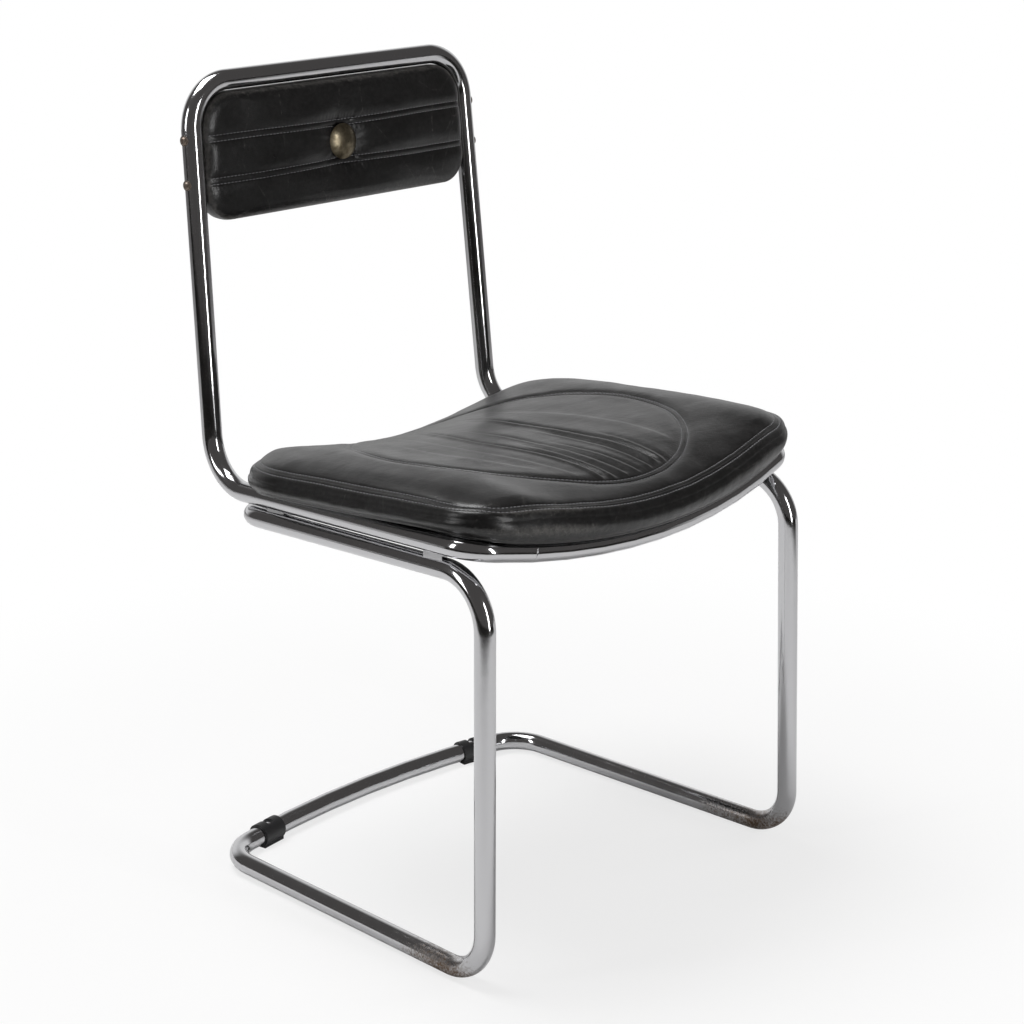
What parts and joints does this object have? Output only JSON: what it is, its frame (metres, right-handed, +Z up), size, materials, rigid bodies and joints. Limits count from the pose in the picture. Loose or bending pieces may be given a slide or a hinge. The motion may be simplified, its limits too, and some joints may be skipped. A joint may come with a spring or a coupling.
{
  "type": "cantilever dining chair",
  "caption": "Cantilever dining chair of bent chromed tube: a looped base and a looped seat and back frame carry a padded saddle seat and a padded back with a central button.",
  "frame": {"origin": "on the floor under the middle of the chair's bounding box", "axes": "+X to the sitter's left, -Y out of the front of the chair, +Z up; the chair is the same on both sides of X = 0"},
  "size_m": [0.4758, 0.4734, 0.8025],
  "materials": {
    "chromed_tube": "bright chromium plate, worn near the floor",
    "steel": "zinc plated",
    "plywood": "moulded plywood, raw",
    "foam": "open cell upholstery foam",
    "leather": "black leather, rubbed at the edges",
    "cloth": "black lining cloth",
    "button_brass": "tarnished brass",
    "screw_steel": "steel with light rust",
    "glide_plastic": "moulded black plastic"
  },
  "bodies": {
    "root": {"seat_back_frame": "chromed_tube", "base_frame": "chromed_tube", "seat_frame_plug": "steel", "base_frame_plug": "steel", "rail_welds": "chromed_tube", "seat_tabs": "chromed_tube", "seat_screws": "steel", "seat_nuts": "steel", "seat_pan": "plywood", "seat_foam": "foam", "seat_boxing": "leather", "seat_top_border": "leather", "seat_round_panel": "leather", "seat_under_cloth": "cloth", "back_board": "plywood", "back_foam": "foam", "back_rear_cover": "leather", "back_panel_low": "leather", "back_panel_middle": "leather", "back_panel_top": "leather", "back_button": "button_brass", "button_shank": "steel", "button_washer": "steel", "button_nut": "steel", "back_screws": "screw_steel", "back_screw_cups": "screw_steel", "board_inserts": "button_brass", "floor_glides": "glide_plastic"}
  },
  "joints": []
}
